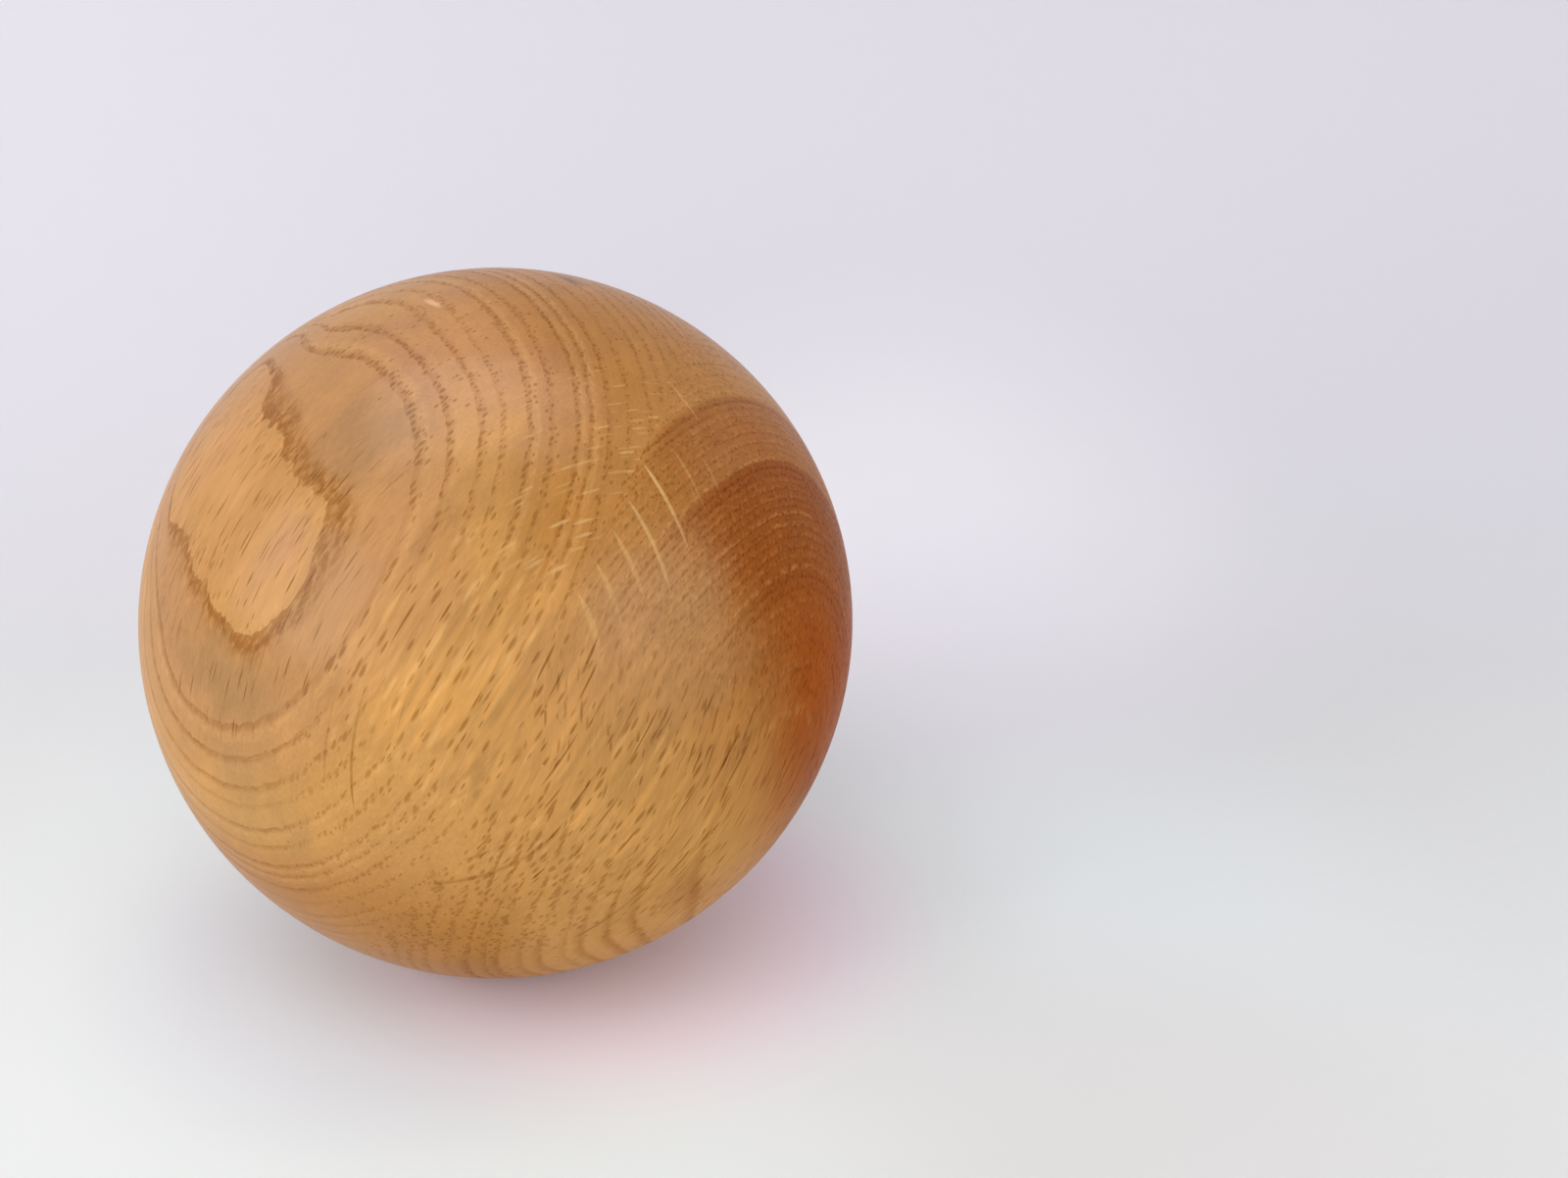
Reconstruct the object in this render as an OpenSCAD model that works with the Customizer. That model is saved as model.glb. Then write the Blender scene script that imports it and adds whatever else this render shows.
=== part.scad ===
// Turned oak ball, one solid piece of wood with no flat, bore or seat.
// The origin is the ball's centre and +Z points up.
// The ball rolls, so whatever holds it meets it at its lowest point.

/* [Ball] */
// Diameter of the finished ball
ball_d = 80; // [20:0.5:250]

/* [Hidden] */
// Number of facets around the preview of the ball
view_facets = 144;
$fn = view_facets;

// A ball as it leaves the lathe: a plain sphere with its centre at the origin.
module ball() {
    color("#c8965a")
    sphere(d = ball_d);
}

ball();
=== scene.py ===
import math
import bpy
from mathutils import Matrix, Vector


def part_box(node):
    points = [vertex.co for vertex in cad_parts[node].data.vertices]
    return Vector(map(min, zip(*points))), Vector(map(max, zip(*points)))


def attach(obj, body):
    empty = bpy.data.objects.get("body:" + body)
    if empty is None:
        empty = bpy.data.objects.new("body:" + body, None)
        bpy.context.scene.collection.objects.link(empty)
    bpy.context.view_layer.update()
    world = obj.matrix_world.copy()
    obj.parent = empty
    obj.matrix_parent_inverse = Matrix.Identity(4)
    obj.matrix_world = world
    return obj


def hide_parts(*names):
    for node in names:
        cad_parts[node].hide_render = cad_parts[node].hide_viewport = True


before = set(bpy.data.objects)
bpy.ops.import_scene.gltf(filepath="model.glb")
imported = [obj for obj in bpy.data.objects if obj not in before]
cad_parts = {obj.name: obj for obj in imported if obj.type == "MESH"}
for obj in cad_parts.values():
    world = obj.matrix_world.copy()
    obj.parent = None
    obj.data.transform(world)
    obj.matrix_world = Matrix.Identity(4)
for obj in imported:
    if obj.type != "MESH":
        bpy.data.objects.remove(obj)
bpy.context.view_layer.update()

from types import SimpleNamespace

import bpy
from mathutils import Matrix, Vector

mm = 0.001  # in metres


class Wire:
    # one socket of a node tree, so that sums on it read like sums
    def __init__(self, tree, socket=None):
        self.tree = tree
        self.socket = socket

    # any node: its type, its settings, then the values or wires of its sockets
    def node(self, kind, settings=None, inputs=None, out=0):
        made = self.tree.nodes.new(kind)
        for name, value in (settings or {}).items():
            if name == "stops":
                setStops(made.color_ramp, value)
            else:
                setattr(made, name, value)
        for name, value in (inputs or {}).items():
            if isinstance(value, Wire):
                self.tree.links.new(value.socket, made.inputs[name])
            else:
                made.inputs[name].default_value = value
        return Wire(self.tree, made.outputs[out])

    def out(self, name):
        return Wire(self.tree, self.socket.node.outputs[name])

    def math(self, operation, *values):
        return self.node("ShaderNodeMath", {"operation": operation}, dict(enumerate((self, *values))))

    def __add__(self, other):
        return self.math("ADD", other)

    def __radd__(self, other):
        return self.math("ADD", other)

    def __sub__(self, other):
        return self.math("SUBTRACT", other)

    def __rsub__(self, other):
        return self.node("ShaderNodeMath", {"operation": "SUBTRACT"}, {0: other, 1: self})

    def __mul__(self, other):
        return self.math("MULTIPLY", other)

    def __rmul__(self, other):
        return self.math("MULTIPLY", other)

    def __truediv__(self, other):
        return self.math("DIVIDE", other)

    def __gt__(self, other):
        return self.math("GREATER_THAN", other)

    def __lt__(self, other):
        return self.math("LESS_THAN", other)

    # 0 below low, 1 above high, smooth between
    def rise(self, low, high):
        return self.node("ShaderNodeMapRange", {"interpolation_type": "SMOOTHSTEP"},
                         {"Value": self, "From Min": low, "From Max": high})

    def blend(self, other, share):
        return self + (other - self) * share

    def dot(self, axis):
        return self.node("ShaderNodeVectorMath", {"operation": "DOT_PRODUCT"}, {0: self, 1: axis}, "Value")

    # mixed towards a colour, from this one or from a first one
    def tint(self, colour, share, first=None):
        start = (*first, 1.0) if first else self
        return self.node("ShaderNodeMix", {"data_type": "RGBA"}, {0: share, 6: start, 7: (*colour, 1.0)}, 2)

    # multiplied by a colour that lets the colour under it show through: darker for a stain, lighter for
    # painted sheen and glints
    def stainAndSheen(self, colour, share):
        return self.node("ShaderNodeMix", {"data_type": "RGBA", "blend_type": "MULTIPLY"},
                         {0: share, 6: self, 7: (*colour, 1.0)}, 2)


# a ramp's stops, each held until the next
def setStops(ramp, stops):
    while len(ramp.elements) > 1:
        ramp.elements.remove(ramp.elements[-1])
    for place, colour in stops:
        element = ramp.elements[0] if place == stops[0][0] else ramp.elements.new(place)
        element.position = place
        element.color = colour
    ramp.interpolation = "CONSTANT"


def vector(x, y, z):
    return x.node("ShaderNodeCombineXYZ", {}, {0: x, 1: y, 2: z})


def noise(x, y, z, roughness=0.5):
    return x.node("ShaderNodeTexNoise", {"noise_dimensions": "3D"},
                  {"Vector": vector(x, y, z), "Scale": 1.0, "Detail": 2.0, "Roughness": roughness})


# the blank of oak: lengths in mm from the ball's centre, angles in degrees about a stem
blank = {
    "fibre": (0.522, 0.291, 0.802),  # the way the fibres run
    "across": (0.613, 0.526, -0.590),  # first way across them, away from stem A
    "stemA": (-84.0, 15.2),  # pith of the first stem, by the two ways across
    "stemB": (24.0, 80.0),  # pith of the second stem
    "leanB": -0.16,  # how far stem B shifts for each mm along the fibre
    "lagB": 1.6,  # how much later stem B's rings meet stem A's
    "ringStep": 1.62,  # growth each year past the listed rings
    "usualOut": 55.0,  # how far out most of the wood lies, so that turns about a stem can be told in mm
}
# start of each year's ring, darkness of its vessels, paleness behind them, width of the brown
ringsA = (
    (41.0, 0.0, 0.0, 0.20),
    (46.6, 1.0, 0.0, 0.25),
    (50.1, 0.8, 0.6, 0.22),
    (51.9, 0.9, 0.2, 0.22),
    (53.9, 0.8, 0.1, 0.22),
    (55.3, 0.4, 0.0, 0.20),
    (57.3, 0.8, 0.7, 0.25),
    (59.0, 0.6, 0.1, 0.22),
    (61.1, 0.9, 0.7, 0.28),
    (62.3, 0.6, 0.7, 0.22),
    (63.9, 0.9, 0.2, 0.32),
    (65.8, 0.3, 0.0, 0.30),
    (68.0, 0.3, 0.0, 0.30),
)
# the slow, narrow years on one side of stem B
ringsB = (
    (44.5, 0.3, 0.9, 0.14),
    (45.4, 0.6, 0.2, 0.14),
    (46.1, 0.6, 0.6, 0.16),
    (47.1, 0.7, 0.0, 0.16),
    (47.7, 0.4, 0.0, 0.14),
    (48.2, 0.2, 0.7, 0.14),
    (49.0, 0.2, 0.6, 0.14),
    (49.8, 0.8, 0.0, 0.20),
    (50.5, 0.9, 0.1, 0.20),
    (50.9, 0.1, 1.0, 0.14),
    (51.7, 0.3, 0.5, 0.14),
    (52.3, 0.8, 0.5, 0.18),
    (53.1, 0.8, 0.5, 0.16),
    (53.85, 0.8, 0.9, 0.16),
    (54.7, 0.8, 0.9, 0.16),
    (55.4, 0.7, 0.2, 0.14),
    (56.0, 0.8, 0.5, 0.16),
    (56.8, 0.7, 0.5, 0.16),
    (57.4, 0.5, 0.3, 0.14),
    (58.0, 0.9, 0.1, 0.18),
    (58.65, 1.0, 0.1, 0.26),
    (59.3, 0.3, 1.0, 0.14),
    (60.3, 0.7, 0.3, 0.16),
    (61.1, 0.7, 0.6, 0.16),
    (62.15, 0.8, 0.5, 0.16),
    (63.2, 0.7, 0.3, 0.16),
    (64.0, 0.7, 0.6, 0.16),
    (64.85, 0.8, 0.0, 0.20),
    (65.6, 1.0, 0.2, 0.34),
    (66.7, 0.2, 0.6, 0.14),
    (67.5, 0.4, 0.5, 0.14),
    (69.1, 0.8, 0.2, 0.20),
)
# bold rays: angle about the stem, where each starts and ends out from it, strength
paleA = (
    (1.95, 68.5, 71.0, 0.4),
    (2.95, 67.9, 71.3, 0.5),
    (4.4, 63.9, 65.6, 0.6),
    (5.0, 67.6, 69.7, 0.4),
    (6.2, 62.8, 65.3, 0.6),
    (7.4, 64.4, 68.1, 0.6),
    (7.9, 59.4, 63.9, 0.6),
    (9.0, 63.4, 67.1, 0.6),
    (10.3, 64.4, 66.8, 0.6),
    (11.5, 62.6, 64.9, 0.6),
    (12.5, 63.9, 66.2, 0.6),
)
paleB = (
    (-131.7, 58.0, 65.2, 0.45),
    (-130.3, 59.4, 65.1, 0.45),
    (-128.55, 58.6, 65.1, 0.5),
    (-126.6, 56.9, 65.4, 0.7),
    (-124.0, 57.7, 66.2, 0.9),
    (-120.9, 58.4, 64.9, 0.35),
    (-118.5, 58.0, 62.5, 0.3),
    (-116.4, 64.8, 70.0, 0.7),
)
darkA = (
    (-19.2, 47.6, 50.9, 0.6),
    (-15.0, 47.9, 49.4, 0.5),
    (-12.0, 47.6, 49.0, 0.4),
    (-10.2, 47.8, 49.0, 0.5),
    (-6.2, 47.7, 50.8, 0.7),
    (-2.3, 47.6, 49.6, 0.6),
    (1.3, 48.0, 50.6, 0.5),
    (5.6, 51.0, 53.0, 0.5),
    (6.9, 52.2, 56.4, 0.6),
    (9.1, 53.0, 59.6, 0.8),
    (10.8, 58.0, 60.6, 0.5),
    (11.9, 55.6, 57.8, 0.6),
)
darkB = (
    (-131.8, 60.1, 64.7, 0.5),
    (-130.6, 55.6, 68.2, 0.5),
    (-123.4, 48.2, 50.6, 0.6),
    (-119.0, 46.0, 53.3, 0.8),
)


# stem A at a point: how far out it lies, its angle about the pith, the age of its wood
def roundStemA(u, w, v):
    dx = u - blank["stemA"][0]
    dy = w - blank["stemA"][1]
    out = (dx * dx + dy * dy).math("SQRT")
    angle = dy.math("ARCTAN2", dx) * math.degrees(1)
    bend = (-5.0 - angle).math("MAXIMUM", 0.0)  # past this angle the rings swell outwards
    bow = (-20.0 - angle).math("MAXIMUM", 0.0)  # past this one the inner rings swell further
    # the outer rings lie further out on the end-grain side
    lift = (2.0 - angle).math("MAXIMUM", 0.0).math("MINIMUM", 13.0) * 0.075
    bulge = v * -0.012 + v * v * 0.00065 + bend * bend * 0.01 * (v * 0.0151 + v * v * 0.0012 + 0.084)
    age = out - bulge - lift * out.rise(54.0, 61.0) * v.rise(5.0, 20.0)
    bow = bow * bow * 0.038
    age = age - bow * (1 - (age - bow).rise(50.0, 51.6))
    # the first ring swells out further than the others on its far side
    swell = ((-15.5 - angle).math("MAXIMUM", 0.0) * 0.2).math("MINIMUM", 3.2)
    notch = (1 - (angle + 10.5).math("ABSOLUTE").rise(0.0, 8.0)) * (v.rise(-2.0, 2.0) * 0.4 + 0.1)
    lobe = (1 - (angle + 4.0).math("ABSOLUTE").rise(0.0, 7.0)) * (1 - v.rise(-2.0, 2.0)) * 0.3
    return out, angle, age - (swell + lobe - notch) * (1 - age.rise(49.2, 50.3))


# the same for stem B, its age counted on its own narrow rings
def roundStemB(u, w, v):
    dx = u - (v * blank["leanB"] + blank["stemB"][0])
    dy = w - blank["stemB"][1]
    out = (dx * dx + dy * dy).math("SQRT")
    angle = dy.math("ARCTAN2", dx) * math.degrees(1)
    bend = (-115.0 - angle).math("MAXIMUM", 0.0)
    slack = (angle + 113.0).math("MAXIMUM", 0.0)
    under = 1 - v.rise(-6.0, 6.0)  # away from the end grain
    narrow = out - bend * bend * 0.01 * v.rise(-5.0, 12.0) - slack * slack * 0.02 * under
    return out, angle, narrow + bend.math("MINIMUM", 14.0) * 0.1 * under


# where a point of the wood lies in the tree
def growth(place):
    fibre = Vector(blank["fibre"]).normalized()
    across = Vector(blank["across"])
    across = (across - fibre * across.dot(fibre)).normalized()
    u = place.dot(across)
    w = place.dot(across.cross(fibre))
    v = place.dot(fibre)
    outA, angleA, ageA = roundStemA(u, w, v)
    outB, angleB, narrow = roundStemB(u, w, v)
    ageB = narrow + blank["lagB"]
    soft = 4.0 - v.rise(-10.0, 10.0) * 3.2  # how gently the rings of both stems meet
    inB = ageA > ageB
    return SimpleNamespace(
        u=u, w=w, v=v, outA=outA, outB=outB, angleA=angleA, angleB=angleB, inB=inB, narrow=narrow,
        age=ageA.math("SMOOTH_MIN", ageB, soft),
        seam=1 - (ageA - ageB).math("ABSOLUTE").rise(0.0, 7.0),
        within=(ageA - ageB).rise(-0.3, 3.0),
        turn=angleA.blend(angleB, inB) * math.radians(1),
    )


# nearest point of a jittered grid: how far off it is each way, and three lots drawn for it
def lattice(x, y, z, jitter=0.9):
    flat = z is None
    spot = vector(x, y, 0.0 if flat else z)
    cells = x.node("ShaderNodeTexVoronoi", {"feature": "F1", "voronoi_dimensions": "2D" if flat else "3D"},
                   {"Vector": spot, "Scale": 1.0, "Randomness": jitter}, "Position")
    centre = cells.node("ShaderNodeSeparateXYZ", {}, {0: cells})
    lots = cells.node("ShaderNodeSeparateColor", {}, {0: cells.out("Color")})
    away = [x - centre.out("X"), y - centre.out("Y")] + ([] if flat else [z - centre.out("Z")])
    return away, (lots.out("Red"), lots.out("Green"), lots.out("Blue"))


# constant steps that hold up to four numbers for each entry of a list, read at the place given
def lookUp(place, entries, edges, low, span):
    stops = [((edge - low) / span, list(entry)) for edge, entry in zip(edges, entries)]
    table = place.node("ShaderNodeValToRGB", {"stops": stops}, {0: (place - low) / span})
    parts = table.node("ShaderNodeSeparateColor", {}, {0: table})
    return parts.out("Red"), parts.out("Green"), parts.out("Blue"), table.out("Alpha")


# the year's ring at an age: where it starts, how dark, how pale behind, how wide, a lot drawn for it
def yearAt(age, rings):
    first = rings[0][0]
    last = rings[-1][0]
    span = last + 2.0 - first
    held = [((start - first) / span, dark, pale, wide) for start, dark, pale, wide in rings]
    listed, dark, pale, wide = lookUp(age, held, [ring[0] for ring in rings], first, span)
    later = ((age - last) / blank["ringStep"]).math("FLOOR") * blank["ringStep"] + last
    isLater = age > last
    start = (listed * span + first).blend(later, isLater)
    # each year draws its own lot
    lot = age.node("ShaderNodeTexWhiteNoise", {"noise_dimensions": "1D"}, {"W": start * 7.3}, "Value")
    return start, dark.blend(lot * 0.6 + 0.25, isLater), pale.blend(lot * 0.6, isLater), wide, lot


# thin radial sheets from a list of bold rays
def boldRays(angle, out, entries, thick):
    low = entries[0][0] - 1.0
    span = entries[-1][0] + 1.0 - low
    edges = [low] + [(a[0] + b[0]) / 2 for a, b in zip(entries, entries[1:])]
    full = 100.0  # mm, as a ramp holds only 0 to 1
    held = [((a - low) / span, start / full, end / full, strong) for a, start, end, strong in entries]
    middle, start, end, strong = lookUp(angle, held, edges, low, span)
    off = (angle - (middle * span + low)).math("ABSOLUTE") * out * math.radians(1)
    inner = out - start * full
    along = inner.math("MINIMUM", end * full - out)
    thin = 1 - (off / (thick * along.rise(-0.2, 2.0))).rise(0.2, 1.0)
    fading = along.rise(-0.2, 0.6) * (inner.rise(0.0, 6.0) * 0.6 + 0.4)
    return thin * strong * fading * (angle > low) * (angle < low + span)


oak = {
    # colours of the wood
    "golden": (0.56, 0.28, 0.076),
    "tan": (0.475, 0.238, 0.084),  # inside the second ring of stem A
    "pinkish": (0.54, 0.262, 0.104),
    "amber": (0.47, 0.205, 0.044),  # where the stems meet
    "foot": (0.44, 0.185, 0.032),
    "pale": (0.68, 0.37, 0.125),
    "heartwood": (0.305, 0.083, 0.011),
    "orange": (0.35, 0.072, 0.001),  # heartwood on the side away from stem A
    "paintedSheen": (0.455, 0.228, 0.085),  # painted sheen: the greyish soft reflection of a lamp, painted into the colour where the stems meet
    "rayPale": (0.68, 0.41, 0.15),
    # what these let through of the wood under them
    "earlywood": (0.70, 0.58, 0.38),
    "pore": (0.52, 0.40, 0.22),
    "rayDark": (0.60, 0.49, 0.30),
    # how strong each mark is
    "tints": {"pinkish": 0.4, "orange": 0.8, "paintedSheen": 0.75, "mottled": 0.5},
    "bandPale": 0.5,
    "streakPale": 0.75,
    "hairDark": 0.85,
    "poreDark": 0.6,
    "finePale": 0.6,  # thin rays in the late years
    "fineDark": 0.9,  # thin rays in the early years
    "shades": {"grain": 0.35, "strands": 0.15, "cloud": 0.3, "grainy": 0.1},
    # steps of heartwood: ages where each ends, angles about stem B where it starts, strength
    "heartSteps": (((67.9, 68.5), (-129.0, -119.0), 0.56), ((60.9, 61.5), (-134.0, -115.0), 0.44)),
    "paintedSheenAt": ((-12.5, 34.0, 11.5), (16.0, 12.0, 14.0)),  # middle and half size of the painted sheen, as for the patches below
    "wornRight": (0.86, -0.3, -0.42),  # directions from the centre in which the wax is thinner
    "wornLeft": (-0.96, -0.27, 0.0),
    "feather": 0.5,  # how far fibres at a ring's edge run past it, mm
    "featherB": 0.3,  # the same in the narrow rings of stem B
    "poreDepth": 0.04,  # mm
    "roughness": 0.32,
    "bareGloss": 0.015,  # of the wood under the wax
    "wax": 0.34,
    "waxRoughness": 0.22,
    # vessels, mm: gaps across and along the fibre, then radius and half length; share of them that show
    "rowVessel": {"gap": 0.62, "long": 3.2, "radius": 0.2, "reach": 1.15, "share": 0.85},
    "looseVessel": {"gap": 0.62, "long": 3.0, "radius": 0.18, "reach": 1.0},
    "streak": {
        "gap": 1.05, "long": 10.0, "radius": 0.4, "reach": 3.4, "share": 0.7,
        "thin": 0.9, "hairThin": 0.34,  # share of that radius for pale streaks and for dark hair lines
        "hairsFrom": 0.45,  # share that have no hair line
    },
    # rays, mm: gaps round the ring, out and along, then half thickness; share left out
    "ray": {"gap": 0.75, "deep": 2.6, "tall": 4.4, "thick": 0.13, "rare": 0.15},
    "boldRay": {"paleA": 0.19, "paleB": 0.24, "darkA": 0.17, "darkB": 0.2},  # half thickness, mm
}
# soft patches of colour, among them painted sheen and a painted glint: middle and half size across (both
# ways) and along the fibre, what they let through, strength
patchesAndPaintedSheen = (
    ((-36.4, 10.0, 14.5), (5.0, 8.0, 8.0), (0.83, 0.87, 0.98), 0.9),
    ((-37.2, 12.5, 7.0), (3.0, 4.0, 4.0), (1.13, 1.14, 1.13), 0.9),
    ((-35.9, 10.0, -15.0), (5.0, 8.0, 6.0), (0.80, 0.84, 0.84), 0.9),
    # painted sheen: the pinkish-lilac cast of the top light's soft reflection
    ((-28.0, 7.0, 25.0), (15.0, 17.0, 13.0), (0.97, 0.92, 1.20), 0.9),
    ((-13.9, -3.4, 37.4), (1.2, 3.4, 2.0), (0.42, 0.50, 0.90), 0.9),
    ((9.6, 36.9, -12.0), (6.0, 4.0, 4.0), (0.82, 0.74, 0.69), 0.65),
    ((-8.0, 38.0, -7.5), (9.0, 5.0, 5.0), (1.13, 1.15, 1.22), 0.9),
    ((-22.9, 25.8, 20.3), (5.0, 5.0, 4.0), (1.12, 1.12, 1.04), 0.9),
    ((-2.6, 22.5, 33.0), (6.0, 6.0, 5.0), (1.0, 0.89, 0.78), 0.9),
    # painted highlight: a small bluish-white glint near the top
    ((-28.4, -3.1, 28.0), (0.5, 2.2, 2.0), (1.42, 1.62, 2.2), 1.0),
    ((-39.2, 12.0, -0.5), (2.4, 5.0, 6.5), (1.0, 0.95, 1.22), 0.8),
    ((-5.7, 39.0, 6.8), (8.0, 8.0, 9.0), (0.86, 0.84, 0.88), 0.8),
    ((-25.5, 22.0, 19.0), (10.0, 8.0, 12.0), (0.88, 0.87, 0.83), 0.9),
    ((-27.5, 14.0, -25.0), (9.0, 9.0, 9.0), (0.90, 0.95, 1.05), 1.0),
    ((-37.5, -1.0, -13.0), (6.0, 7.0, 8.0), (0.90, 0.90, 0.92), 0.9),
    ((-32.0, 23.5, -4.0), (5.0, 5.0, 6.0), (1.14, 1.14, 1.22), 0.9),
    ((-40.0, -1.0, 1.0), (4.0, 5.0, 6.0), (1.09, 1.11, 1.14), 0.9),
    ((-31.0, 23.0, 10.0), (5.0, 5.0, 6.0), (0.88, 0.86, 0.82), 0.9),
    # painted sheen: a paler, bluer edge of the soft reflection where the stems meet
    ((-21.5, 31.0, 12.0), (5.0, 5.0, 6.0), (1.09, 1.12, 1.18), 0.8),
    ((-9.0, 38.5, 0.0), (5.0, 6.0, 7.0), (0.88, 0.90, 0.94), 0.9),
)


# a soft round patch: 1 in its middle, 0 past its ragged edge
def patchAt(spot, centre, size, ragged):
    scale = Vector([1 / s for s in size])
    shift = Vector([-c / s for c, s in zip(centre, size)])
    away = spot.node("ShaderNodeVectorMath", {"operation": "MULTIPLY_ADD"}, {0: spot, 1: scale, 2: shift})
    far = away.node("ShaderNodeVectorMath", {"operation": "LENGTH"}, {0: away}, "Value")
    return 1 - (far + ragged).rise(0.25, 1.0)


# how the wood wanders, and the parts of the ball that differ in their marks
def wander(at):
    at.around = at.turn * blank["usualOut"]
    at.feather = noise(at.around * 0.9, at.age * 0.5, at.v * 0.09, 0.65) - 0.5
    at.age = at.age + at.feather * oak["feather"]  # so that ring edges are feathered
    at.mottle = noise(at.u * 0.06, at.w * 0.06, at.v * 0.03)
    at.cloud = noise(at.u * 0.25, at.w * 0.25, at.v * 0.08, 0.6)
    at.grainy = noise(at.around * 1.5, at.age * 3.0, at.v * 0.6, 0.6)
    at.grain = noise(at.around * 4.0, at.age * 4.0, at.v * 0.3, 0.65)
    at.strands = noise(at.u * 0.9, at.w * 0.9, at.v * 0.09)

    at.above = at.v.rise(2.0, 14.0)  # the end-grain side
    at.flat = 1 - (at.v * 0.1).math("ABSOLUTE").rise(0.3, 1.2)  # where the fibres lie along the surface
    at.inOval = at.age < ringsA[1][0]  # inside the first ring
    at.longer = at.v.math("ABSOLUTE").rise(8.0, 15.0) * 3.0 + at.inOval * 0.7  # vessels, mm
    at.lowB = at.inB * (1 - at.v.rise(0.0, 10.0))  # low on stem B
    # the darker wood inside stem A's second ring
    at.tan = (1 - at.age.rise(50.0, 56.0)) * (1 - at.inB) * (0.35 + at.age.rise(46.4, 47.4) * 0.65)
    # low down, where the rings hold few pores
    at.lowA = (1 - at.v.rise(-10.0, -1.0)) * (1 - at.inB)
    at.bareA = at.lowA * (1 - at.angleA.rise(0.0, 7.0))
    at.bareB = (1 - at.v.rise(-8.0, 0.0)) * at.inB * at.angleB.rise(-124.0, -119.0)


# the year's ring at a point, with the brown it starts in and the pale band behind that
def yearRing(at):
    v, inB, angleA, angleB = at.v, at.inB, at.angleA, at.angleB
    # stem B has its own list on its slow side
    slow = inB * (v + (at.mottle - 0.5) * 10.0 > 1.0)
    ageB = at.narrow + at.feather * oak["featherB"]
    both = zip(yearAt(at.age, ringsA), yearAt(ageB, ringsB))
    start, dark, pale, wide, lot = (a.blend(b, slow) for a, b in both)
    inRing = at.age.blend(ageB, slow) - start
    first = (start < 47.0) * (1 - inB)  # stem A's first ring

    # rings stay faint round the pith of stem B and where the two stems meet low down
    quiet = (1 - at.narrow.rise(44.0, 46.0)) * inB * 0.7
    meet = at.seam * (1 - v.rise(4.0, 14.0)) * 0.9
    dark = dark * (1 - quiet) * (first * 0.4 + 1.0)
    fade = (at.narrow.rise(42.5, 44.5) * 0.5 + at.narrow.rise(49.5, 51.5) * 0.35) * v.rise(4.0, 11.0)
    fade = fade * (1 - angleB.rise(-108.0, -99.0) * 0.6)
    pale = pale * (1 - meet) * (1 - at.lowA * 0.2) * (1 - inB + inB * fade)

    # a line only where the wood is cut steeply, soft bands low on stem B
    bandB = inB * (1 - v.rise(1.0, 9.0)) * angleB.rise(-124.0, -119.0)
    steep = v.rise(6.0, 16.0) * (0.45 + slow * (dark * dark * 0.5 - 0.3))
    lined = steep + at.bareA * 0.9 + bandB * 0.85 + at.flat * (1 - inB) * 0.25 + 0.16
    lined = lined.math("MAXIMUM", first) * (1 - meet)
    lower = angleA.rise(-9.0, -3.0) * (1 - v.rise(5.0, 11.0) * 0.8) * (v.rise(-9.0, -3.0) * 0.6 + 0.4)
    spread = 1 + bandB * (1 - at.flat) * 1.6 + at.above * (1 - slow) * 0.7 + at.bareA * 0.6 * (1 - first)
    wide = wide * spread + first * lower * 0.5
    sharp = (inRing / (bandB * 3.0 + 1.0)).rise(0.0, 0.12)
    brown = sharp * (1 - (inRing / wide).rise(0.5, 2.2)) * dark * lined
    brown = brown * (at.cloud.rise(0.35, 0.6) * 0.45 + 0.55)
    brown = brown * at.grainy.rise(0.3, 0.6).blend(1.0, bandB * 0.7 + 0.3)
    # the first ring leaves a wider, mottled brown behind it
    behind = inRing / (lower * 0.9 + 0.9)
    mottled = first * behind.rise(0.0, 0.2) * (1 - behind.rise(0.4, 1.1)) * at.grainy.rise(0.4, 0.65)
    shrink = inRing / (1 - slow * 0.5)
    broken = at.grainy.rise(0.4, 0.62).blend(1.0, 0.45 - slow * 0.4)
    paleBand = shrink.rise(0.35, 0.6) * (1 - shrink.rise(0.8, 1.3)) * pale * broken
    return SimpleNamespace(
        start=start, dark=dark, lot=lot, slow=slow, first=first, inRing=inRing, shrink=shrink,
        brown=brown, mottled=mottled, paleBand=paleBand,
    )


# straight files of vessels: how far off the nearest is each way, and its three lots
def files(at, gaps):
    return lattice(at.u / gaps[0], at.w / gaps[1], at.v / gaps[2])


# vessels run along the fibre, so they are dots where they are cut across and dashes where cut along
def tubes(at, size, away, gaps, lots, soft, thin=1.0, further=0.0):
    reach = at.longer + further + size["reach"]
    grown = lots[0] * 0.6 + 0.55
    side = (away[0] * gaps[0], away[1] * gaps[1])
    far = (side[0] * side[0] + side[1] * side[1]) / (size["radius"] * size["radius"]) / (thin * thin)
    end = away[2] * gaps[2] / reach
    return 1 - ((far + end * end) / (grown * grown)).rise(soft, 1.4)


# one row of open pores at the start of each ring
def rowPores(at, ring):
    size = oak["rowVessel"]
    v, inB, slow = at.v, at.inB, ring.slow
    about = at.turn * ring.start.blend(58.0, slow) / (slow * 0.2 + size["gap"])
    away, lots = lattice(about, v / size["long"] + ring.lot * 50.0, None, 0.7)
    row = (away[0], ring.inRing - (lots[2] * 0.4 + 0.1), away[1])
    big = 1 - slow * 0.15 + (1 - v.rise(-14.0, -6.0)) * 0.2 + at.flat * (1 - inB) * 0.3
    big = big + inB * (1 - at.above) * 0.2
    gaps = (size["gap"], 1.0, size["long"])
    rowed = tubes(at, size, row, gaps, lots, 0.1, big) * (lots[1] < size["share"])
    bare = (at.bareA + at.bareB).math("MAXIMUM", ring.first)
    return rowed * (ring.dark * 0.5 + 0.45) * (ring.start > 45.0) * (1 - bare * 0.85)  # none by the pith


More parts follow.
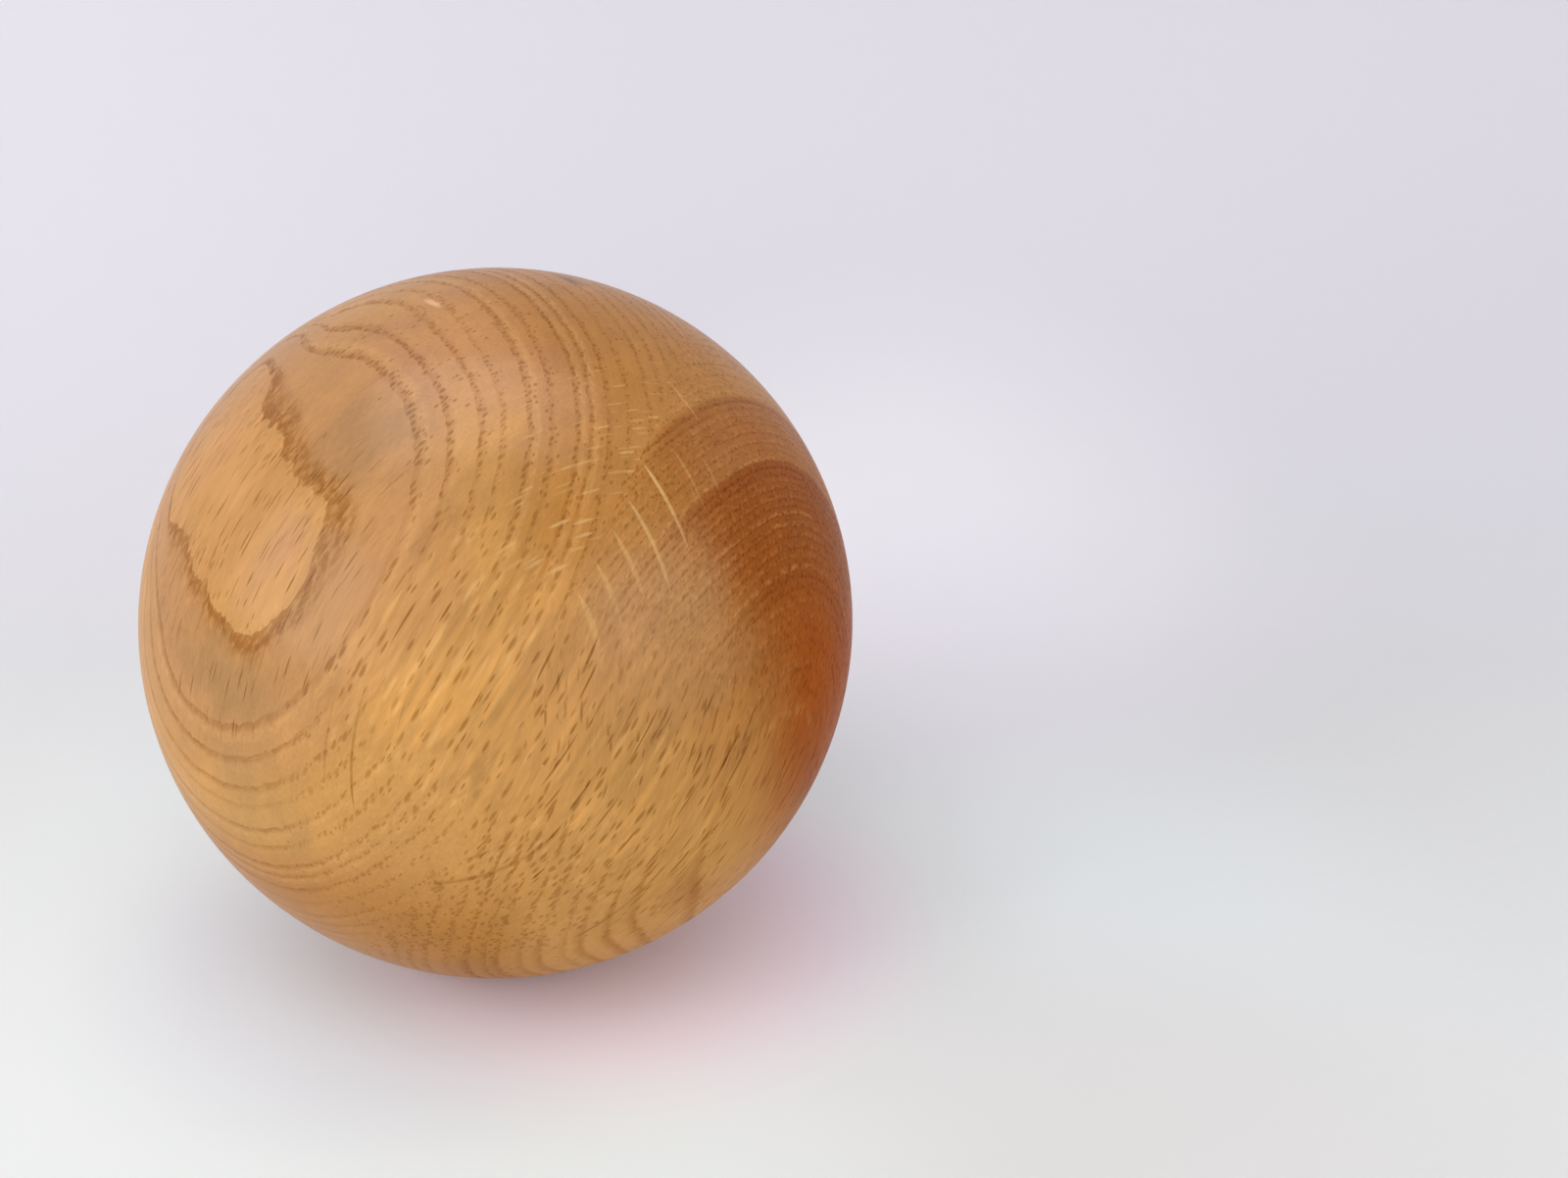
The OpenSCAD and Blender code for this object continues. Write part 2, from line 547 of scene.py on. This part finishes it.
# the others stand in straight files of their own, closer together behind the row
def loosePores(at, ring):
    size = oak["looseVessel"]
    gaps = (size["gap"], size["gap"], size["long"])
    away, lots = files(at, gaps)
    plump = 1 - at.inOval * 0.4 + at.inB * (1 - at.above) * 0.25
    loose = tubes(at, size, away, gaps, lots, 0.1, plump)
    close = 1 - ring.shrink.rise(0.5, 1.0)
    sparse = at.flat * 0.25 + at.lowB * 0.3 + ring.slow * at.above * 0.25 + 0.07
    chance = (close * 0.6 + sparse).blend(0.85, at.inOval * (1 - at.inB))
    bare = (at.bareA + at.bareB * 0.8 + ring.first * 0.8).math("MINIMUM", 1.0)
    chance = chance * (1 - bare * (1 - at.inOval))
    return loose * (lots[1] < chance) * 0.9


# dark hair lines and pale streaks: vessels cut lengthwise
def cutLengthwise(at):
    size = oak["streak"]
    v, inB = at.v, at.inB
    gaps = (size["gap"], size["gap"], size["long"])
    flatter = (size["gap"], (1 - inB * 0.65) * size["gap"], size["long"])
    away, lots = files(at, gaps)
    hairs = tubes(at, size, away, flatter, lots, 0.2, size["hairThin"], inB * 2.0)
    hairs = hairs * (lots[1] > inB * 0.12 + size["hairsFrom"])
    streaks = tubes(at, size, away, gaps, lots, 0.0, size["thin"]) * (lots[1] < size["share"])
    onA = v.rise(-18.0, -8.0) * (1 - v.rise(6.0, 16.0))
    onB = v.rise(-20.0, -12.0) * (1 - v.rise(1.0, 6.0))
    hairsOnB = v.rise(-22.0, -14.0) * (1 - v.rise(7.0, 14.0))
    outside = at.age.rise(50.0, 53.0)
    hairs = hairs * (onA.blend(hairsOnB, inB) * outside.blend(1.0, inB))
    return hairs, streaks * (onA.blend(onB, inB) * outside)


# medullary rays: thin sheets, radial and along the fibre, where chance puts them
def fineRays(at):
    size = oak["ray"]
    away, lots = lattice(at.around / size["gap"], at.age / size["deep"], at.v / size["tall"], 1.0)
    half = 0.42  # of a cell, so that neighbours stay apart
    dx = away[0] * size["gap"] / size["thick"]
    dy = away[1] / half
    dz = away[2] / half
    return (1 - (dx * dx + dy * dy + dz * dz).rise(0.2, 1.0)) * lots[2].rise(size["rare"], 0.8)


# base colour of the wood before any mark, with its soft patches, painted sheen and a painted glint among
# them
def plainWood(root, at, uvw):
    u, v = at.u, at.v
    wood = root.tint(oak["tan"], at.tan, first=oak["golden"])
    wood = wood.tint(oak["amber"], v.rise(3.0, 18.0) * at.age.rise(54.0, 62.0))
    wood = wood.tint(oak["pinkish"], at.mottle.rise(0.45, 0.7) * oak["tints"]["pinkish"])
    wood = wood.tint(oak["foot"], (u * 0.35 - v).rise(10.0, 26.0) * at.age.rise(56.0, 64.0))
    for middle, half, through, strength in patchesAndPaintedSheen:
        wood = wood.stainAndSheen(through, patchAt(uvw, middle, half, (at.cloud - 0.5) * 0.9) * strength)
    return wood


# two steps of heartwood follow the rings of stem B, and turn orange on its far side
def heartwood(wood, at):
    angleB = at.angleB
    slope = at.v + (angleB + 107.0) * 0.3 + (at.feather + at.mottle - 0.5) * 6.0
    outer, inner = ((1 - at.age.rise(*ends)) * angleB.rise(*starts) * share
                    for ends, starts, share in oak["heartSteps"])
    wood = wood.tint(oak["heartwood"], (outer + inner) * slope.rise(-10.0, 20.0) * at.within)
    orange = angleB.rise(-117.0, -103.0) * slope.rise(-6.0, 12.0) * (1 - at.v.rise(14.0, 28.0))
    return wood.tint(oak["orange"], orange * oak["tints"]["orange"]), orange


# pale and dark rays over the wood, the bold ones where the lists put them
def overlayRays(wood, at):
    v, inB, thick = at.v, at.inB, oak["boldRay"]
    rays = fineRays(at)
    boldPale = boldRays(at.angleA, at.outA, paleA, thick["paleA"])
    boldPale = boldPale.blend(boldRays(at.angleB, at.outB, paleB, thick["paleB"]), inB)
    boldDark = boldRays(at.angleA, at.outA, darkA, thick["darkA"])
    boldDark = boldDark.blend(boldRays(at.angleB, at.outB, darkB, thick["darkB"]), inB)
    late = at.angleA.rise(-3.0, 4.0) * at.age.rise(55.0, 59.0) * (1 - inB * 0.85) * v.rise(4.0, 15.0)
    wood = wood.tint(oak["rayPale"], rays * late * oak["finePale"])
    early = rays * (1 - at.age.rise(50.3, 52.5)) * (1 - v.rise(8.0, 16.0))
    wood = wood.stainAndSheen(oak["rayDark"], early * oak["fineDark"])
    wood = wood.tint(oak["rayPale"], boldPale * v.rise(3.0, 12.0))
    return wood.stainAndSheen(oak["rayDark"], boldDark * (1 - v.rise(0.0, 8.0)))


# fine light and shade of the fibres, strongest where they lie along the surface
def shaded(wood, at, weave):
    shades = oak["shades"]
    level = 1 - (at.v * 0.1).math("ABSOLUTE").rise(0.4, 1.8)
    strong = (0.7 - at.inB * 0.2) * (1 - at.tan.math("MAXIMUM", at.inOval) * 0.8)
    shade = (at.grain - 0.5) * shades["grain"] + (at.strands - 0.5) * (level * strong + shades["strands"])
    shade = shade + (at.cloud - 0.5) * shades["cloud"]
    shade = shade + (at.grainy - 0.5) * (weave * 0.45 + shades["grainy"]) + 1.0
    return wood.node("ShaderNodeVectorMath", {"operation": "SCALE"}, {0: wood, "Scale": shade})


# the wood's colour with every mark on it and a painted sheen, and where it is orange
def oakColour(root, at, ring, pores):
    v, inB, tints = at.v, at.inB, oak["tints"]
    uvw = vector(at.u, at.w, v)
    # painted sheen: a soft greyish reflection painted into the colour
    paintedSheen = patchAt(uvw, *oak["paintedSheenAt"], (at.cloud - 0.5) * 0.4)
    hairs, streaks = cutLengthwise(at)
    wood, orange = heartwood(plainWood(root, at, uvw), at)
    wood = wood.tint(oak["paintedSheen"], paintedSheen * tints["paintedSheen"])
    wood = wood.tint(oak["pale"], ring.paleBand * (oak["bandPale"] - ring.slow * 0.2))
    wood = wood.stainAndSheen(oak["earlywood"], ring.brown)
    wood = wood.stainAndSheen(oak["earlywood"], ring.mottled * tints["mottled"])
    wood = wood.tint(oak["pale"], streaks * (oak["streakPale"] - inB * 0.15))
    wood = wood.stainAndSheen(oak["pore"], hairs * oak["hairDark"])
    # pores show less under the painted sheen and low down, more where they are cut along
    weave = inB * v.rise(5.0, 14.0) * (1 - paintedSheen * 0.6)
    foot = 1 - v.rise(-22.0, -12.0)
    poreDark = oak["poreDark"] - paintedSheen * 0.25 + (at.flat + at.inOval) * 0.14
    wood = wood.stainAndSheen(oak["pore"], pores * (poreDark - weave * 0.05 + at.lowB * 0.06 - foot * 0.12))
    return shaded(overlayRays(wood, at), at, weave), orange


# how much wax there is: less on the worn sides, over the pores and on the orange wood
def waxed(place, pores, orange):
    worn = place.dot(Vector(oak["wornRight"]).normalized()).rise(8.0, 27.0)
    worn = worn.math("MAXIMUM", place.dot(Vector(oak["wornLeft"])).rise(24.0, 40.0) * 0.5)
    return (1 - worn * 0.85) * (1 - pores * 0.6) * (1 - orange * 0.85) * oak["wax"]


def oakMaterial():
    material = bpy.data.materials.new("oak")
    material.use_nodes = True
    tree = material.node_tree
    tree.nodes.clear()
    root = Wire(tree)
    local = root.node("ShaderNodeTexCoord", out="Object")
    place = root.node("ShaderNodeVectorMath", {"operation": "SCALE"}, {0: local, "Scale": 1 / mm})
    at = growth(place)
    wander(at)
    ring = yearRing(at)
    pores = rowPores(at, ring).math("MAXIMUM", loosePores(at, ring))
    colour, orange = oakColour(root, at, ring, pores)
    relief = root.node("ShaderNodeBump", {}, {
        "Strength": 0.5, "Distance": mm, "Height": pores * -oak["poreDepth"]})
    surface = root.node("ShaderNodeBsdfPrincipled", {}, {
        "Base Color": colour,
        "Roughness": pores * 0.3 + ring.brown * 0.06 + (at.grain - 0.5) * 0.1 + oak["roughness"],
        "Normal": relief,
        "IOR": 1.5,
        "Specular IOR Level": oak["bareGloss"],
        "Coat Weight": waxed(place, pores, orange),
        "Coat Roughness": oak["waxRoughness"],
        "Coat IOR": 1.5,
    })
    output = tree.nodes.new("ShaderNodeOutputMaterial")
    tree.links.new(surface.socket, output.inputs["Surface"])
    print("oak material:", len(tree.nodes), "nodes")
    return material


ball = {
    "across": 128,  # faces along each side of the six patches
    "drying": 0.17,  # how much smaller its radius has dried across the fibre than along it, mm
    "uneven": 0.05,  # how far the turner's hand wandered, mm
    "lobes": 1.4,  # how close together it did so
}


# the ball as geometry nodes: a cube blown up, with faces of nearly one size
def ballTree(names, centre, material):
    tree = bpy.data.node_groups.new("turned ball", "GeometryNodeTree")
    for name in names:
        tree.interface.new_socket(name, in_out="INPUT", socket_type="NodeSocketFloat")
    tree.interface.new_socket("Geometry", in_out="OUTPUT", socket_type="NodeSocketGeometry")
    root = Wire(tree)
    given = root.node("NodeGroupInput", out="Radius")
    count = ball["across"] + 1
    cube = root.node("GeometryNodeMeshCube", {}, {
        "Size": (2, 2, 2), "Vertices X": count, "Vertices Y": count, "Vertices Z": count}, "Mesh")
    spot = root.node("GeometryNodeInputPosition")
    quarter = root.node("ShaderNodeVectorMath", {"operation": "SCALE"}, {0: spot, "Scale": math.pi / 4})
    even = root.node("ShaderNodeVectorMath", {"operation": "TANGENT"}, {0: quarter})
    way = root.node("ShaderNodeVectorMath", {"operation": "NORMALIZE"}, {0: even})
    along = way.dot(Vector(blank["fibre"]).normalized())
    strayed = root.node("ShaderNodeTexNoise", {}, {"Vector": way, "Scale": ball["lobes"], "Detail": 1.0})
    size = given - given.out("Drying") * (1 - along * along) - given.out("Unevenness") * strayed
    moved = root.node("ShaderNodeVectorMath", {"operation": "SCALE"}, {0: way, "Scale": size})
    placed = root.node("ShaderNodeVectorMath", {"operation": "ADD"}, {0: moved, 1: centre})
    shaped = root.node("GeometryNodeSetPosition", {}, {"Geometry": cube, "Position": placed})
    smooth = root.node("GeometryNodeSetShadeSmooth", {}, {"Geometry": shaped})
    real = root.node("GeometryNodeRealizeInstances", {}, {"Geometry": smooth})
    done = root.node("GeometryNodeSetMaterial", {}, {"Geometry": real, "Material": material})
    output = tree.nodes.new("NodeGroupOutput")
    tree.links.new(done.socket, output.inputs["Geometry"])
    return tree


def turnedBall(material):
    low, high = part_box("ball")
    sizes = {
        "Radius": min(high - low) / 2,
        "Drying": ball["drying"] * mm,
        "Unevenness": ball["uneven"] * mm,
    }
    holder = bpy.data.objects.new("ball-shape", bpy.data.meshes.new("ball-shape"))
    bpy.context.scene.collection.objects.link(holder)
    modifier = holder.modifiers.new("turned ball", "NODES")
    modifier.node_group = ballTree(sizes, (low + high) / 2, material)
    for socket in modifier.node_group.interface.items_tree:
        if socket.in_out == "INPUT":
            modifier[socket.identifier] = sizes[socket.name]
    depsgraph = bpy.context.evaluated_depsgraph_get()
    mesh = bpy.data.meshes.new_from_object(holder.evaluated_get(depsgraph), depsgraph=depsgraph)
    mesh.name = "oak-ball"
    bpy.data.objects.remove(holder)
    mesh.materials.clear()
    mesh.materials.append(material)
    # it rests on its lowest point
    lowest = min(vertex.co.z for vertex in mesh.vertices)
    mesh.transform(Matrix.Translation((0, 0, low.z - lowest)))
    piece = bpy.data.objects.new("oak-ball", mesh)
    bpy.context.scene.collection.objects.link(piece)
    print("ball:", len(mesh.polygons), "faces, lowered", round((lowest - low.z) / mm, 3), "mm")
    return piece


studio = {
    "cameraPlace": (32.07, -240.55, 116.24),  # mm from the ball's centre
    "cameraPitch": 25.0,  # degrees down from level
    "lens": 54.0,  # mm, on a sensor 36 mm wide
    "fill": (0.94, 0.92, 1.0),
    "fillStrength": 0.45,
    # soft boxes in metres and watts: place, aim, size, power, what they light
    "lights": {
        "left": ((-0.42, -0.22, 0.20), (0, 0, 0), (0.4, 0.3), 1.2, "both"),
        "right": ((0.42, -0.24, 0.17), (0, 0, 0), (0.4, 0.22), 0.56, "both"),
        "front": ((-0.05, -0.3, 0.5), (0, 0, 0), (0.5, 0.3), 0.7, "matt"),
        "low": ((-0.05, -0.55, 0.25), (0, 0, 0), (0.4, 0.3), 0.5, "matt"),
        "ceiling": ((0, 0, 0.9), (0, 0, 0), (1.2, 0.9), 0.3, "matt"),
        "panel": ((-0.03, 0.04, 0.5), (-0.03, 0.04, 0), (0.5, 0.32), 1.8, "gloss"),
    },
}


def makeCamera():
    data = bpy.data.cameras.new("camera")
    data.sensor_width = 36.0
    data.lens = studio["lens"]
    data.clip_start = 0.01
    data.clip_end = 20
    camera = bpy.data.objects.new("camera", data)
    camera.location = Vector(studio["cameraPlace"]) * mm
    camera.rotation_euler = (math.radians(90 - studio["cameraPitch"]), 0, 0)
    bpy.context.scene.collection.objects.link(camera)
    bpy.context.scene.camera = camera


# the paper that the ball lies on, in metres
backdrop = {
    "width": 1.6,  # to each side
    "front": -0.9,
    "back": 0.07,  # where it starts to curve up
    "radius": 0.12,
    "steps": 24,  # strips in the curve
    "height": 0.5,
    "paper": (0.785, 0.805, 0.78),
    "paperFibres": (0.815, 0.835, 0.81),
    "fibreScale": 900.0,  # specks to the metre
    "roughness": 0.8,
    # painted light and shadow on the floor round the ball: middle, where each starts to fade and ends,
    # colour
    "floorPaintedLight": (
        ((0.014, 0.0), (0.05, 0.11), (0.86, 0.925, 0.915)),  # painted light: paler round the ball, where its shadow falls
        # painted shadow: darker by the ball's front left
        ((-0.015, -0.01), (0.018, 0.042), (0.80, 0.86, 0.91)),
        # painted shade: darker towards the front right
        ((0.075, -0.05), (0.01, 0.06), (0.775, 0.775, 0.75)),
        ((0.014, -0.002), (0.019, 0.041), (0.93, 0.855, 0.94)),  # painted shadow colour: a touch of lilac close to it
    ),
    "wall": (0.72, 0.705, 0.75),
    "wallRise": (0.02, 0.16),  # where its colour comes in, towards the back
    "wallPaintedLight": ((0.05, 0.09), (0.01, 0.08), (0.88, 0.865, 0.9)),  # painted light: paler behind the ball, where its shadow falls
}


# floor that curves up into the backdrop
def sweepMesh(low):
    radius, back = backdrop["radius"], backdrop["back"]
    profile = [(backdrop["front"], low), (back, low)]
    for step in range(1, backdrop["steps"] + 1):
        a = math.radians(90 * step / backdrop["steps"])
        profile.append((back + radius * math.sin(a), low + radius - radius * math.cos(a)))
    profile.append((back + radius, low + backdrop["height"]))
    vertices = [(x, y, z) for y, z in profile for x in (-backdrop["width"], backdrop["width"])]
    faces = [(2 * i, 2 * i + 1, 2 * i + 3, 2 * i + 2) for i in range(len(profile) - 1)]
    mesh = bpy.data.meshes.new("sweep")
    mesh.from_pydata(vertices, [], faces)
    mesh.polygons.foreach_set("use_smooth", [True] * len(faces))
    return mesh


def paperMaterial(low):
    material = bpy.data.materials.new("paper")
    material.use_nodes = True
    tree = material.node_tree
    shader = tree.nodes["Principled BSDF"]
    root = Wire(tree)
    local = root.node("ShaderNodeTexCoord", out="Object")

    def near(sheet, middle, fades, colour):
        away = root.node("ShaderNodeVectorMath", {"operation": "DISTANCE"},
                         {0: local, 1: (*middle, low)}, "Value")
        return sheet.tint(colour, 1 - away.rise(*fades))

    fibres = root.node("ShaderNodeTexNoise", {},
                       {"Vector": local, "Scale": backdrop["fibreScale"], "Detail": 4.0})
    sheet = root.tint(backdrop["paperFibres"], fibres, first=backdrop["paper"])
    # painted light and shadow round the ball
    for tint in backdrop["floorPaintedLight"]:
        sheet = near(sheet, *tint)
    upright = root.node("ShaderNodeSeparateXYZ", {}, {0: local}, "Y").rise(*backdrop["wallRise"])
    # the wall's colour, then painted light behind the ball
    sheet = near(sheet.tint(backdrop["wall"], upright), *backdrop["wallPaintedLight"])
    tree.links.new(sheet.socket, shader.inputs["Base Color"])
    shader.inputs["Roughness"].default_value = backdrop["roughness"]
    # clear from behind, so that the ball is seen from all round
    material.use_transparent_shadow = False
    behind = root.node("ShaderNodeNewGeometry", out="Backfacing")
    tree.links.new((1 - behind).socket, shader.inputs["Alpha"])
    return material


def makeSweep():
    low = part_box("ball")[0].z
    mesh = sweepMesh(low)
    mesh.materials.append(paperMaterial(low))
    sweep = bpy.data.objects.new("sweep", mesh)
    bpy.context.scene.collection.objects.link(sweep)


def areaLight(name, place, aim, size, power):
    data = bpy.data.lights.new(name, "AREA")
    data.shape = "RECTANGLE"
    data.size, data.size_y = size
    data.energy = power
    light = bpy.data.objects.new(name, data)
    light.location = place
    light.rotation_euler = (Vector(aim) - Vector(place)).to_track_quat("-Z", "Y").to_euler()
    bpy.context.scene.collection.objects.link(light)
    return light


def makeLight():
    world = bpy.data.worlds.new("studio")
    bpy.context.scene.world = world
    world.use_nodes = True
    background = world.node_tree.nodes["Background"]
    background.inputs["Color"].default_value = (*studio["fill"], 1)
    background.inputs["Strength"].default_value = studio["fillStrength"]
    for name, (place, aim, size, power, shines) in studio["lights"].items():
        light = areaLight(name, place, aim, size, power)
        light.visible_glossy = shines != "matt"
        light.visible_diffuse = shines != "gloss"


bpy.context.scene.view_settings.view_transform = "Standard"
makeCamera()
makeSweep()
makeLight()
piece = turnedBall(oakMaterial())

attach(piece, "root")
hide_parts("ball")
print("stage, lights and ball are in place")
